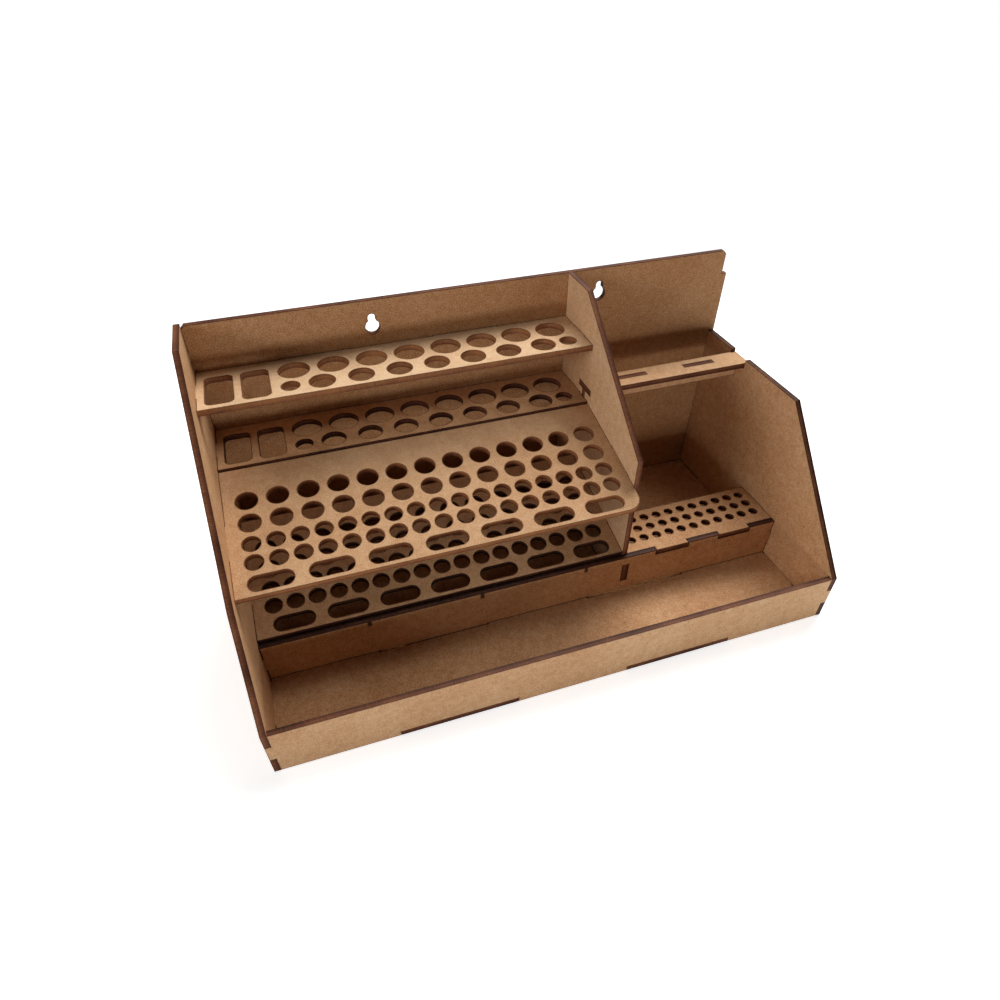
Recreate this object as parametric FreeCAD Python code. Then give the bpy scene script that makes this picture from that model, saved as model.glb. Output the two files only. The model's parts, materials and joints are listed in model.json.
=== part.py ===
import FreeCAD, Part
import math
import os

# Hobby workstation organizer: fourteen flat sheets of laser-cut fibreboard that tab into
# each other. Two perforated racks slope down to the front, two level shelves stand behind
# them, a divider parts them from the pliers bay, and an open tray runs along the front.
#
# Millimetres, +Z up, front towards -Y. The sheets are drawn from the front left bottom
# corner of the outside, and moved at the end so that the origin is the middle of the base.

# Board and joints
BOARD = 3.0                     # thickness of every sheet
JOINT_GAP = 0.1                 # clearance on each side of a tab in its slot
FACET_SAG = 0.12                # how far the straight cuts that make up a hole stray from its arc

# Outside
WIDTH = 300.0
DEPTH = 155.0
HEIGHT = 148.0                  # back panel, left side and divider
FRONT_HEIGHT = 29.0
RIGHT_HEIGHT = 100.0

# Profiles of the upright sheets that run front to back
TOP_LENGTH = 27.7               # level top of the left side and the divider, from the back
BEND_Y = 33.0                   # where the left side's slope turns steeper
BEND_Z = 75.0
RIGHT_TOP_LENGTH = 88.8         # level top of the right side, from the back
CORNER_CUT = 1.8                # cut corners at the top of the back panel

# Joints between the outer sheets
LOW_BACK_MARKS = (10.0, 40.0, 70.0)    # heights where the fingers of the back corners change over
TOP_FINGER = 13.0               # last finger of the left side, from the top
FRONT_FINGER = 10.1             # the lower two of the three fingers of the front corners
FLOOR_TAB_LENGTH = 60.0         # tabs of the floor into the front and back panels
FLOOR_TAB_SPACING = 120.0
FLOOR_SIDE_TAB_LENGTH = 28.0    # tabs of the floor into the sides
FLOOR_SIDE_TAB_FRONT = 22.0     # front of the organizer to the front tab
FLOOR_SIDE_TAB_REAR = 27.0      # back of the organizer to the rear tab

# Left bay, between the left side and the divider
BAY_WIDTH = 197.0

# Shelves
SHELF_DEPTH = 37.0              # in front of the back panel
UPPER_SHELF_DROP = 24.0         # top of the organizer to the upper shelf's top
LOWER_SHELF_DROP = 9.6          # right side's top edge to the lower shelf's top
SHELF_SIDE_TAB_REAR = 12.7      # back panel to the side tabs
SHELF_SIDE_TAB_LENGTH = 13.3
SHELF_REAR_TAB_LENGTH = 36.0
SHELF_REAR_TAB_SPACING = 80.0
POCKET_MARGIN = 4.0             # left wall to the first square pocket, and pocket to pocket
POCKET_WIDTH = 13.0
POCKET_DEPTH = 26.0
POCKET_FRONT = 3.5              # shelf's front edge to the pockets
POCKET_CORNER = 3.0
SHELF_PITCH = 19.43
SHELF_MARGIN = 14.6             # last large hole's centre to the divider, at least
LARGE_RADIUS = 7.65
LARGE_ROW = 24.0                # shelf's front edge to the row of large holes
LARGE_START = 12.3              # second pocket to the first large hole's centre
MEDIUM_RADIUS = 6.25
MEDIUM_START = 12.0             # first large hole's centre to the first medium hole's centre
MEDIUM_PITCH = 19.08
FRONT_ROW = 9.2                 # shelf's front edge to the row of medium holes
END_HOLE_RADIUS = 4.4
END_HOLE_GAP = (15.1, 13.9)     # left and right end hole, outside the first and last medium hole

# Sloping racks
RACK_TILT = 12.4                # degrees, down to the front
MAIN_RACK_FRONT = 40.95
MAIN_RACK_TOP = 73.5            # top face at its front edge
LOWER_RACK_TOP = 30.2
RACK_TAB = (21.0, 41.5)         # side tabs, up the slope from the front edge
RACK_CORNER = 8.0               # free front corner of the main rack
SLOT_ROW = 6.5                  # rows are given up the slope from the front edge
SLOT_PITCH = 26.9
MAIN_SLOT_SHIFT = -1.3          # middle of the row of slots, from the middle of the bay
LOWER_SLOT_SHIFT = 1.5
SLOT_MARGIN = 17.0              # end slot's centre to the wall, at least, and so on for the holes
RACK_REAR_MARGIN = 15.0         # last row to the rack's rear edge, at least
SLOT_LENGTH = 20.5
SLOT_WIDTH = 8.4
SMALL_ROWS = (17.9, 28.3)
SMALL_PITCH = 11.0
SMALL_MARGIN = 10.4
SMALL_RADIUS = 4.3
WIDE_ROWS = (40.5, 54.0)
WIDE_PITCH = 14.55
WIDE_MARGIN = 11.1
WIDE_RADIUS = 5.3

# Riser behind the tray, and the bit plate that hooks over it
RISER_FRONT = 51.0
RISER_TOP = 28.2
RISER_END_TAB = (10.0, 20.0)
RISER_FOOT_LENGTH = 60.0
RISER_FOOT_SPACING = 120.0
BIT_PLATE_DEPTH = 30.9          # behind the riser
BIT_FINGER = 20.0               # fingers and notches over the riser, from the divider
BIT_LAST_FINGER = 15.0          # the one at the right side, at least
BIT_END_TAB_FRONT = 9.0         # riser to the end tabs
BIT_END_TAB_LENGTH = 14.0
BIT_ROW_FRONT = 8.8             # riser to the first row
BIT_ROW_PITCH = 7.85
BIT_ROWS = 3
BIT_PITCH = 8.0
BIT_MARGIN = 6.9
BIT_RADIUS = 2.5

# Divider
DIVIDER_RISER_TAB = (10.4, 22.0)
DIVIDER_FOOT_LENGTH = 20.0
DIVIDER_FOOT_FRONT = 14.0       # riser to the front foot
DIVIDER_FOOT_REAR = 14.0        # back panel to the rear foot
DIVIDER_LOW_TAB = (20.0, 50.0)  # into the back panel
DIVIDER_HIGH_TAB_DROP = 31.0    # top of the organizer to the upper tab into the back panel
DIVIDER_HIGH_TAB_LENGTH = 15.0

# Pliers bar and the rail that stiffens it
BAR_DROP = 2.0                  # right side's top edge to the bar's top
BAR_DEPTH = 14.5
BAR_BACK_GAP = 25.0             # back panel to the bar
RAIL_INSET = 7.0                # bar's front edge to the rail
RAIL_DROP = 8.0                 # rail below the bar
RAIL_TAB_LENGTH = 19.0
RAIL_TAB_SPACING = 43.0

# Keyholes for hanging on a wall
KEYHOLE_FROM_LEFT = 92.6
KEYHOLE_PAST_DIVIDER = 16.0
KEYHOLE_DROP = 14.1             # top of the organizer to the round part's centre
KEYHOLE_RADIUS = 3.7
KEYHOLE_NECK = 4.0              # width of the neck above the round part
KEYHOLE_RISE = 4.9              # round part's centre to the centre of the neck's end

# Places that follow from the sizes above
INNER_RIGHT = WIDTH - BOARD
INNER_BACK = DEPTH - BOARD
DIVIDER_LEFT = BOARD + BAY_WIDTH
DIVIDER_RIGHT = DIVIDER_LEFT + BOARD
LEFT_BAY = (BOARD, DIVIDER_LEFT)
RIGHT_BAY = (DIVIDER_RIGHT, INNER_RIGHT)
RISER_BACK = RISER_FRONT + BOARD
KINK_Y = DEPTH - TOP_LENGTH
UPPER_SLOPE = (HEIGHT - BEND_Z) / (KINK_Y - BEND_Y)
TILT = math.radians(RACK_TILT)
UPPER_SHELF_TOP = HEIGHT - UPPER_SHELF_DROP
LOWER_SHELF_TOP = RIGHT_HEIGHT - LOWER_SHELF_DROP
SHELF_FRONT = INNER_BACK - SHELF_DEPTH
SHELF_SIDE_TAB_END = INNER_BACK - SHELF_SIDE_TAB_REAR
SHELF_SIDE_TAB = (SHELF_SIDE_TAB_END - SHELF_SIDE_TAB_LENGTH, SHELF_SIDE_TAB_END)
LOWER_RACK_FRONT = RISER_BACK + JOINT_GAP
RACK_DEPTH = (SHELF_FRONT - JOINT_GAP - BOARD * math.sin(TILT) - MAIN_RACK_FRONT) / math.cos(TILT)
BIT_END_TAB = (RISER_BACK + BIT_END_TAB_FRONT, RISER_BACK + BIT_END_TAB_FRONT + BIT_END_TAB_LENGTH)
BAR_TOP = RIGHT_HEIGHT - BAR_DROP
BAR_UNDER = BAR_TOP - BOARD
BAR_REAR = INNER_BACK - BAR_BACK_GAP
BAR_FRONT = BAR_REAR - BAR_DEPTH
RAIL_FRONT = BAR_FRONT + RAIL_INSET
RAIL_REAR = RAIL_FRONT + BOARD
RAIL_UNDER = BAR_UNDER - RAIL_DROP


# ---- outlines ----------------------------------------------------------------------------

def edge(start, end, teeth=(), step=BOARD):
    """Corners of one level or upright edge, from start up to end but without it.

    A tooth is a pair of places along the edge. It stands out by step to the right of the way
    the edge runs, which is outside an outline drawn anticlockwise, and cuts in below zero."""
    x, y = start
    run_x, run_y = end[0] - x, end[1] - y
    corners = [start]
    if abs(run_x) > abs(run_y):
        sign = math.copysign(1.0, run_x)
        for a, b in sorted((sorted(t, key=lambda v: v * sign) for t in teeth), key=lambda t: t[0] * sign):
            out = y - sign * step
            corners += [(a, y), (a, out), (b, out), (b, y)]
    else:
        sign = math.copysign(1.0, run_y)
        for a, b in sorted((sorted(t, key=lambda v: v * sign) for t in teeth), key=lambda t: t[0] * sign):
            out = x + sign * step
            corners += [(x, a), (out, a), (out, b), (x, b)]
    return corners


def spread(middle, spacing, length, count=2):
    """Spans of one length, evenly spaced about a middle."""
    first = middle - spacing * (count - 1) / 2
    return [(first + spacing * i - length / 2, first + spacing * i + length / 2) for i in range(count)]


def row(walls, pitch, margin):
    """Evenly pitched places about the middle of two walls, as many as the margins leave room for."""
    room = walls[1] - walls[0] - 2 * margin
    count = int(room / pitch) + 1
    return [sum(walls) / 2 + pitch * (i - (count - 1) / 2) for i in range(count)]


def widened(spans):
    """Spans of notches or slots that take tabs of the given spans."""
    return [(a - JOINT_GAP, b + JOINT_GAP) for a, b in spans]


def fingers(marks, first):
    """Every second span between the marks, eased by half the joint gap where fingers meet."""
    spans = []
    for a, b in list(zip(marks, marks[1:]))[first::2]:
        low = a if a == marks[0] else a + JOINT_GAP / 2
        high = b if b == marks[-1] else b - JOINT_GAP / 2
        spans.append((low, high))
    return spans


def rectangle(span_x, span_y):
    (x0, x1), (y0, y1) = span_x, span_y
    return [(x0, y0), (x1, y0), (x1, y1), (x0, y1)]


def slot(span_x, span_y):
    """A slot that takes a tab of the given section, with the joint gap all round."""
    return rectangle(*widened([span_x, span_y]))


def arc(x, y, radius, start, sweep):
    """Corners along an arc, in degrees, as close together as FACET_SAG asks."""
    widest = 2 * math.degrees(math.acos(1 - min(FACET_SAG / radius, 1)))
    steps = max(2, math.ceil(sweep / widest))
    angles = [math.radians(start + sweep * i / steps) for i in range(steps + 1)]
    return [(x + radius * math.cos(a), y + radius * math.sin(a)) for a in angles]


def hole(x, y, radius):
    return arc(x, y, radius, 0, 360)


def round_slot(x, y, length, width):
    """A slot with half-round ends, lying along x."""
    radius = width / 2
    reach = length / 2 - radius
    return arc(x + reach, y, radius, -90, 180) + arc(x - reach, y, radius, 90, 180)


def pocket(x, y):
    """A square opening with rounded corners, from its front left corner."""
    left, right = x + POCKET_CORNER, x + POCKET_WIDTH - POCKET_CORNER
    front, rear = y + POCKET_CORNER, y + POCKET_DEPTH - POCKET_CORNER
    centres = [(right, front, -90), (right, rear, 0), (left, rear, 90), (left, front, 180)]
    return [corner for cx, cy, start in centres for corner in arc(cx, cy, POCKET_CORNER, start, 90)]


def keyhole(x, z):
    """Wire of a true round hole with a narrow neck above, for a screw head to enter and slide up."""
    half = KEYHOLE_NECK / 2
    shoulder, end = z + math.sqrt(KEYHOLE_RADIUS ** 2 - half ** 2), z + KEYHOLE_RISE
    low_left, low_right = FreeCAD.Vector(x - half, shoulder, 0), FreeCAD.Vector(x + half, shoulder, 0)
    high_left, high_right = FreeCAD.Vector(x - half, end, 0), FreeCAD.Vector(x + half, end, 0)
    bowl = Part.Arc(low_left, FreeCAD.Vector(x, z - KEYHOLE_RADIUS, 0), low_right).toShape()
    cap = Part.Arc(high_right, FreeCAD.Vector(x, end + half, 0), high_left).toShape()
    return Part.Wire([bowl, Part.makeLine(low_right, high_right), cap, Part.makeLine(high_left, low_left)])


def wire(corners):
    """A closed wire through the corners, less those that repeat."""
    points = []
    for x, y in corners:
        point = FreeCAD.Vector(x, y, 0)
        if not points or point.distanceToPoint(points[-1]) > 1e-6:
            points.append(point)
    if points[0].distanceToPoint(points[-1]) > 1e-6:
        points.append(points[0])
    return Part.makePolygon(points)


# ---- sheets and where they stand ---------------------------------------------------------

def sheet(outline, openings=(), wires=()):
    """A board of the outline, lying on z = 0, with openings given by their corners or as wires."""
    rims = [wire(corners) for corners in [outline] + list(openings)] + list(wires)
    face = Part.makeFace(rims, "Part::FaceMakerBullseye")
    return face.extrude(FreeCAD.Vector(0, 0, BOARD)).removeSplitter()


def placed(shape, rotation, move):
    shape.Placement = FreeCAD.Placement(FreeCAD.Vector(*move), rotation)
    return shape


def level(shape, top):
    """Lies level with its upper face at top."""
    return placed(shape, FreeCAD.Rotation(), (0, 0, top - BOARD))


def across(shape, front):
    """Stands across the organizer, drawn in x and z, with its front face at front."""
    return placed(shape, FreeCAD.Rotation(FreeCAD.Vector(1, 0, 0), 90), (0, front + BOARD, 0))


def lengthwise(shape, left):
    """Stands front to back, drawn in y and z, with its left face at left."""
    return placed(shape, FreeCAD.Rotation(FreeCAD.Vector(1, 1, 1), 120), (left, 0, 0))


def sloping(shape, front, top):
    """Slopes down to the front, with its upper front edge at front and top."""
    shape.translate(FreeCAD.Vector(0, 0, -BOARD))
    shape.rotate(FreeCAD.Vector(0, 0, 0), FreeCAD.Vector(1, 0, 0), RACK_TILT)
    shape.translate(FreeCAD.Vector(0, front, top))
    return shape


# ---- joints that two sheets share --------------------------------------------------------

def floor_tabs():
    return spread(WIDTH / 2, FLOOR_TAB_SPACING, FLOOR_TAB_LENGTH)


def floor_side_tabs():
    front, rear = FLOOR_SIDE_TAB_FRONT, DEPTH - FLOOR_SIDE_TAB_REAR
    return [(front, front + FLOOR_SIDE_TAB_LENGTH), (rear - FLOOR_SIDE_TAB_LENGTH, rear)]


def front_marks():
    """Heights where the fingers of the front corners change over."""
    return [0, FRONT_FINGER, 2 * FRONT_FINGER, FRONT_HEIGHT]


def back_marks(top):
    """Heights where the fingers of a back corner change over, up to the top of its side."""
    marks = (0,) + LOW_BACK_MARKS + (RIGHT_HEIGHT, HEIGHT - TOP_FINGER, HEIGHT)
    return [z for z in marks if z <= top]


def shelf_rear_tabs():
    return spread(sum(LEFT_BAY) / 2, SHELF_REAR_TAB_SPACING, SHELF_REAR_TAB_LENGTH)


def riser_feet():
    return spread(WIDTH / 2, RISER_FOOT_SPACING, RISER_FOOT_LENGTH)


def divider_feet():
    front, rear = RISER_BACK + DIVIDER_FOOT_FRONT, INNER_BACK - DIVIDER_FOOT_REAR
    return [(front, front + DIVIDER_FOOT_LENGTH), (rear - DIVIDER_FOOT_LENGTH, rear)]


def divider_back_tabs():
    high = HEIGHT - DIVIDER_HIGH_TAB_DROP
    return [DIVIDER_LOW_TAB, (high - DIVIDER_HIGH_TAB_LENGTH, high)]


def bit_marks():
    """Places along the riser where the bit plate's fingers and notches change over."""
    whole = int((INNER_RIGHT - DIVIDER_LEFT - BIT_LAST_FINGER) / BIT_FINGER)
    return [DIVIDER_LEFT + BIT_FINGER * i for i in range(whole + 1)] + [INNER_RIGHT]


def rail_tabs():
    return spread(sum(RIGHT_BAY) / 2, RAIL_TAB_SPACING, RAIL_TAB_LENGTH)


def rack_slot(front, top):
    """Slot in an upright sheet, in y and z, for a sloping rack's side tab."""
    low, high = widened([RACK_TAB])[0]
    corners = rectangle((low, high), (-BOARD - JOINT_GAP, JOINT_GAP))
    return [(front + s * math.cos(TILT) - n * math.sin(TILT), top + s * math.sin(TILT) + n * math.cos(TILT))
            for s, n in corners]


def left_bay_slots():
    """Slots that the left side and the divider share, for the two shelves and the two racks."""
    shelves = [slot(SHELF_SIDE_TAB, (top - BOARD, top)) for top in (UPPER_SHELF_TOP, LOWER_SHELF_TOP)]
    racks = [rack_slot(MAIN_RACK_FRONT, MAIN_RACK_TOP), rack_slot(LOWER_RACK_FRONT, LOWER_RACK_TOP)]
    return shelves + racks


def bar_seat(top):
    """Seat for the bar and, below it, the rail: a T in y and z, closed or open at top."""
    rear, front = BAR_REAR + JOINT_GAP, BAR_FRONT - JOINT_GAP
    rail_front, rail_rear = widened([(RAIL_FRONT, RAIL_REAR)])[0]
    under, low = BAR_UNDER - JOINT_GAP, RAIL_UNDER - JOINT_GAP
    return [(rear, top), (rear, under), (rail_rear, under), (rail_rear, low),
            (rail_front, low), (rail_front, under), (front, under), (front, top)]


# ---- pieces ------------------------------------------------------------------------------

def floor_plate():
    riser_slots = [slot(foot, (RISER_FRONT, RISER_BACK)) for foot in riser_feet()]
    divider_slots = [slot((DIVIDER_LEFT, DIVIDER_RIGHT), foot) for foot in divider_feet()]
    a, b, c, d = rectangle((BOARD, INNER_RIGHT), (BOARD, INNER_BACK))
    outline = (edge(a, b, floor_tabs()) + edge(b, c, floor_side_tabs())
               + edge(c, d, floor_tabs()) + edge(d, a, floor_side_tabs()))
    return level(sheet(outline, riser_slots + divider_slots), BOARD)


def front_panel():
    a, b, c, d = rectangle((BOARD, INNER_RIGHT), (0, FRONT_HEIGHT))
    tabs = fingers(front_marks(), 1)
    outline = edge(a, b, widened(floor_tabs()), -BOARD) + edge(b, c, tabs) + [c] + edge(d, a, tabs)
    return across(sheet(outline), 0)


def back_panel():
    a, b, c, d = rectangle((BOARD, INNER_RIGHT), (0, HEIGHT))
    tabs = fingers(back_marks(HEIGHT), 0)
    outline = (edge(a, b, widened(floor_tabs()), -BOARD) + edge(b, c, tabs)
               + [(c[0], c[1] - CORNER_CUT), (c[0] - CORNER_CUT, c[1])]
               + [(d[0] + CORNER_CUT, d[1])] + edge((d[0], d[1] - CORNER_CUT), a, tabs))
    shelf_slots = [slot(tab, (top - BOARD, top))
                   for top in (UPPER_SHELF_TOP, LOWER_SHELF_TOP) for tab in shelf_rear_tabs()]
    divider_slots = [slot((DIVIDER_LEFT, DIVIDER_RIGHT), tab) for tab in divider_back_tabs()]
    keyhole_x = (KEYHOLE_FROM_LEFT, DIVIDER_RIGHT + KEYHOLE_PAST_DIVIDER)
    keyholes = [keyhole(x, HEIGHT - KEYHOLE_DROP) for x in keyhole_x]
    return across(sheet(outline, shelf_slots + divider_slots, keyholes), INNER_BACK)


def left_side():
    base = edge((0, 0), (INNER_BACK, 0), widened(floor_side_tabs()), -BOARD)
    back = edge((INNER_BACK, 0), (INNER_BACK, HEIGHT), fingers(back_marks(HEIGHT), 1))
    slope = [(INNER_BACK, HEIGHT), (KINK_Y, HEIGHT), (BEND_Y, BEND_Z)]
    front = edge((0, FRONT_HEIGHT), (0, 0), widened(fingers(front_marks(), 1)), -BOARD)
    riser_slot = slot((RISER_FRONT, RISER_BACK), RISER_END_TAB)
    return lengthwise(sheet(base + back + slope + front, left_bay_slots() + [riser_slot]), 0)


def right_side():
    base = edge((0, 0), (INNER_BACK, 0), widened(floor_side_tabs()), -BOARD)
    back = edge((INNER_BACK, 0), (INNER_BACK, RIGHT_HEIGHT), fingers(back_marks(RIGHT_HEIGHT), 1))
    slope = [(INNER_BACK, RIGHT_HEIGHT)] + bar_seat(RIGHT_HEIGHT) + [(DEPTH - RIGHT_TOP_LENGTH, RIGHT_HEIGHT)]
    front = edge((0, FRONT_HEIGHT), (0, 0), widened(fingers(front_marks(), 1)), -BOARD)
    riser_slot = slot((RISER_FRONT, RISER_BACK), RISER_END_TAB)
    bit_slot = slot(BIT_END_TAB, (RISER_TOP - BOARD, RISER_TOP))
    return lengthwise(sheet(base + back + slope + front, [riser_slot, bit_slot]), INNER_RIGHT)


def divider():
    front_top = HEIGHT - UPPER_SLOPE * (KINK_Y - RISER_BACK)
    base = edge((RISER_BACK, BOARD), (INNER_BACK, BOARD), divider_feet())
    back = edge((INNER_BACK, BOARD), (INNER_BACK, HEIGHT), divider_back_tabs())
    slope = [(INNER_BACK, HEIGHT), (KINK_Y, HEIGHT)]
    front = edge((RISER_BACK, front_top), (RISER_BACK, BOARD), [DIVIDER_RISER_TAB])
    bit_slot = slot(BIT_END_TAB, (RISER_TOP - BOARD, RISER_TOP))
    openings = left_bay_slots() + [bit_slot, bar_seat(BAR_TOP + JOINT_GAP)]
    return lengthwise(sheet(base + back + slope + front, openings), DIVIDER_LEFT)


def shelf(top):
    """One of the two level shelves: square pockets at the left, then two rows of round holes."""
    a, b, c, d = rectangle((BOARD, DIVIDER_LEFT), (SHELF_FRONT, INNER_BACK))
    sides = [SHELF_SIDE_TAB]
    outline = [a] + edge(b, c, sides) + edge(c, d, shelf_rear_tabs()) + edge(d, a, sides)
    pocket_x = [BOARD + POCKET_MARGIN + (POCKET_WIDTH + POCKET_MARGIN) * i for i in range(2)]
    openings = [pocket(x, SHELF_FRONT + POCKET_FRONT) for x in pocket_x]
    large_first = pocket_x[-1] + POCKET_WIDTH + LARGE_START
    large_count = int((DIVIDER_LEFT - SHELF_MARGIN - large_first) / SHELF_PITCH) + 1
    large_x = [large_first + SHELF_PITCH * i for i in range(large_count)]
    openings += [hole(x, SHELF_FRONT + LARGE_ROW, LARGE_RADIUS) for x in large_x]
    medium_x = [large_first + MEDIUM_START + MEDIUM_PITCH * i for i in range(large_count - 1)]
    openings += [hole(x, SHELF_FRONT + FRONT_ROW, MEDIUM_RADIUS) for x in medium_x]
    for x in (medium_x[0] - END_HOLE_GAP[0], medium_x[-1] + END_HOLE_GAP[1]):
        openings.append(hole(x, SHELF_FRONT + FRONT_ROW, END_HOLE_RADIUS))
    return level(sheet(outline, openings), top)


def rack(front, top, corner, shift):
    """One of the two sloping racks: long slots in front, then four rows of round holes."""
    a, b, c, d = rectangle((BOARD, DIVIDER_LEFT), (0, RACK_DEPTH))
    rounded = arc(b[0] - corner, corner, corner, -90, 90) if corner else [b]
    outline = [a] + rounded + edge(b, c, [RACK_TAB])[1:] + [c] + edge(d, a, [RACK_TAB])
    slot_x = [x + shift for x in row(LEFT_BAY, SLOT_PITCH, SLOT_MARGIN)]
    small_x = row(LEFT_BAY, SMALL_PITCH, SMALL_MARGIN)
    wide_x = row(LEFT_BAY, WIDE_PITCH, WIDE_MARGIN)
    openings = [round_slot(x, SLOT_ROW, SLOT_LENGTH, SLOT_WIDTH) for x in slot_x]
    openings += [hole(x, s, SMALL_RADIUS) for s in SMALL_ROWS for x in small_x]
    wide_rows = [s for s in WIDE_ROWS if s <= RACK_DEPTH - RACK_REAR_MARGIN]
    openings += [hole(x, s, WIDE_RADIUS) for s in wide_rows for x in wide_x]
    return sloping(sheet(outline, openings), front, top)


def riser():
    """Upright strip behind the tray, with fingers up into the bit plate in the right bay."""
    a, b, c, d = rectangle((BOARD, INNER_RIGHT), (BOARD, RISER_TOP))
    outline = (edge(a, b, riser_feet()) + edge(b, c, [RISER_END_TAB])
               + edge(c, d, widened(fingers(bit_marks(), 1)), -BOARD) + edge(d, a, [RISER_END_TAB]))
    divider_slot = slot((DIVIDER_LEFT, DIVIDER_RIGHT), DIVIDER_RISER_TAB)
    return across(sheet(outline, [divider_slot]), RISER_FRONT)


def bit_plate():
    a, b, c, d = rectangle(RIGHT_BAY, (RISER_BACK, RISER_BACK + BIT_PLATE_DEPTH))
    hooks, ends = fingers(bit_marks(), 1), [BIT_END_TAB]
    outline = edge(a, b, hooks) + edge(b, c, ends) + [c] + edge(d, a, ends)
    openings = [hole(x, RISER_BACK + BIT_ROW_FRONT + BIT_ROW_PITCH * i, BIT_RADIUS)
                for i in range(BIT_ROWS) for x in row(RIGHT_BAY, BIT_PITCH, BIT_MARGIN)]
    return level(sheet(outline, openings), RISER_TOP)


def pliers_bar():
    rail_slots = [slot(tab, (RAIL_FRONT, RAIL_REAR)) for tab in rail_tabs()]
    return level(sheet(rectangle((DIVIDER_LEFT, WIDTH), (BAR_FRONT, BAR_REAR)), rail_slots), BAR_TOP)


def bar_rail():
    a, b, c, d = rectangle((DIVIDER_LEFT, WIDTH), (RAIL_UNDER, BAR_UNDER))
    outline = [a, b] + edge(c, d, rail_tabs()) + [d]
    return across(sheet(outline), RAIL_FRONT)


PIECES = {
    "floor_plate": floor_plate(),
    "front_panel": front_panel(),
    "back_panel": back_panel(),
    "left_side": left_side(),
    "right_side": right_side(),
    "divider": divider(),
    "upper_shelf": shelf(UPPER_SHELF_TOP),
    "lower_shelf": shelf(LOWER_SHELF_TOP),
    "main_rack": rack(MAIN_RACK_FRONT, MAIN_RACK_TOP, RACK_CORNER, MAIN_SLOT_SHIFT),
    "lower_rack": rack(LOWER_RACK_FRONT, LOWER_RACK_TOP, 0, LOWER_SLOT_SHIFT),
    "riser": riser(),
    "bit_plate": bit_plate(),
    "pliers_bar": pliers_bar(),
    "bar_rail": bar_rail(),
}

os.makedirs("parts", exist_ok=True)
for name, piece in PIECES.items():
    piece.translate(FreeCAD.Vector(-WIDTH / 2, -DEPTH / 2, 0))
    piece.exportStep("parts/" + name + ".step")
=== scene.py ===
import json
import math

import bmesh
import bpy
from mathutils import Euler, Matrix, Vector


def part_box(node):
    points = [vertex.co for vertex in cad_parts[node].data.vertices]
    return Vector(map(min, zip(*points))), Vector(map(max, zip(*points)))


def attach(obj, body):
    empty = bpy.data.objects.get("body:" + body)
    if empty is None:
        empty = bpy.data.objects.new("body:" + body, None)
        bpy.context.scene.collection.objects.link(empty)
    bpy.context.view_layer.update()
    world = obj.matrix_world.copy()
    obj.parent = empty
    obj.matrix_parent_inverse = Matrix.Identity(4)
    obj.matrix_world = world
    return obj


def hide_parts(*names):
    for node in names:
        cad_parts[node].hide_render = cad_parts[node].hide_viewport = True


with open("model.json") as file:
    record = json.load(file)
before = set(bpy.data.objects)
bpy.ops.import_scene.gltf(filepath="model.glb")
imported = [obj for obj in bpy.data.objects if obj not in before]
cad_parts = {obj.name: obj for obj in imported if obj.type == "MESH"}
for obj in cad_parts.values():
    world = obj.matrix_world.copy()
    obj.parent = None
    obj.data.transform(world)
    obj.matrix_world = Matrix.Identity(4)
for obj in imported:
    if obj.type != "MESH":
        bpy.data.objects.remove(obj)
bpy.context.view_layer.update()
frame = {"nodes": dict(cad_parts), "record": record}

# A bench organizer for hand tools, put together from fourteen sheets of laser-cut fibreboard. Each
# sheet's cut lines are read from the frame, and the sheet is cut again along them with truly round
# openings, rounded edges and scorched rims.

MM = 0.001

BOARD = 3.0 * MM                    # thickness of every sheet
RACK_TILT = math.radians(12.4)      # slope of the two racks
LIP = 0.10 * MM                     # rounding that the laser leaves on a cut edge
SCORCH = 0.8 * MM                   # width of the browned band beside a cut
CLEAN = 0.12 * MM                   # how much less a round opening is scorched than a straight cut
FINE, COARSE = 48, 32               # sides of a large and a small round opening
LARGE_OPENING = 5.0 * MM            # radius above which an opening has the fine number of sides
MERGE = 0.001 * MM                  # points nearer than this are one
SAME = 0.01 * MM                    # lengths that differ by less are equal
SHARP = math.radians(35.0)          # faces that meet at more than this are shaded apart


# ---- node trees --------------------------------------------------------------------------

class Socket:
    """A node's output; sums written with it add Math nodes to its tree."""

    def __init__(self, tree, output):
        self.tree = tree
        self.output = output

    def swing(self, amount):
        """How far a value from 0 to 1 is from its middle, times the amount."""
        return (self - 0.5) * amount

    def __add__(self, other):
        return self.tree.math("ADD", self, other)

    def __radd__(self, other):
        return self.tree.math("ADD", other, self)

    def __sub__(self, other):
        return self.tree.math("SUBTRACT", self, other)

    def __rsub__(self, other):
        return self.tree.math("SUBTRACT", other, self)

    def __mul__(self, other):
        return self.tree.math("MULTIPLY", self, other)

    def __rmul__(self, other):
        return self.tree.math("MULTIPLY", other, self)

    def __truediv__(self, other):
        return self.tree.math("DIVIDE", self, other)

    def __rtruediv__(self, other):
        return self.tree.math("DIVIDE", other, self)

    def __neg__(self):
        return self.tree.math("MULTIPLY", self, -1.0)

    def __abs__(self):
        return self.tree.math("ABSOLUTE", self)

    def __lt__(self, other):
        return self.tree.math("LESS_THAN", self, other)

    def __gt__(self, other):
        return self.tree.math("GREATER_THAN", self, other)


class Node:
    """A node whose outputs are taken by identifier or name."""

    def __init__(self, tree, node):
        self.tree = tree
        self.node = node

    def __getitem__(self, name):
        by_identifier = [o for o in self.node.outputs if o.identifier == name]
        by_name = [o for o in self.node.outputs if o.name == name and o.enabled]
        return Socket(self.tree, (by_identifier or by_name)[0])


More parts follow.
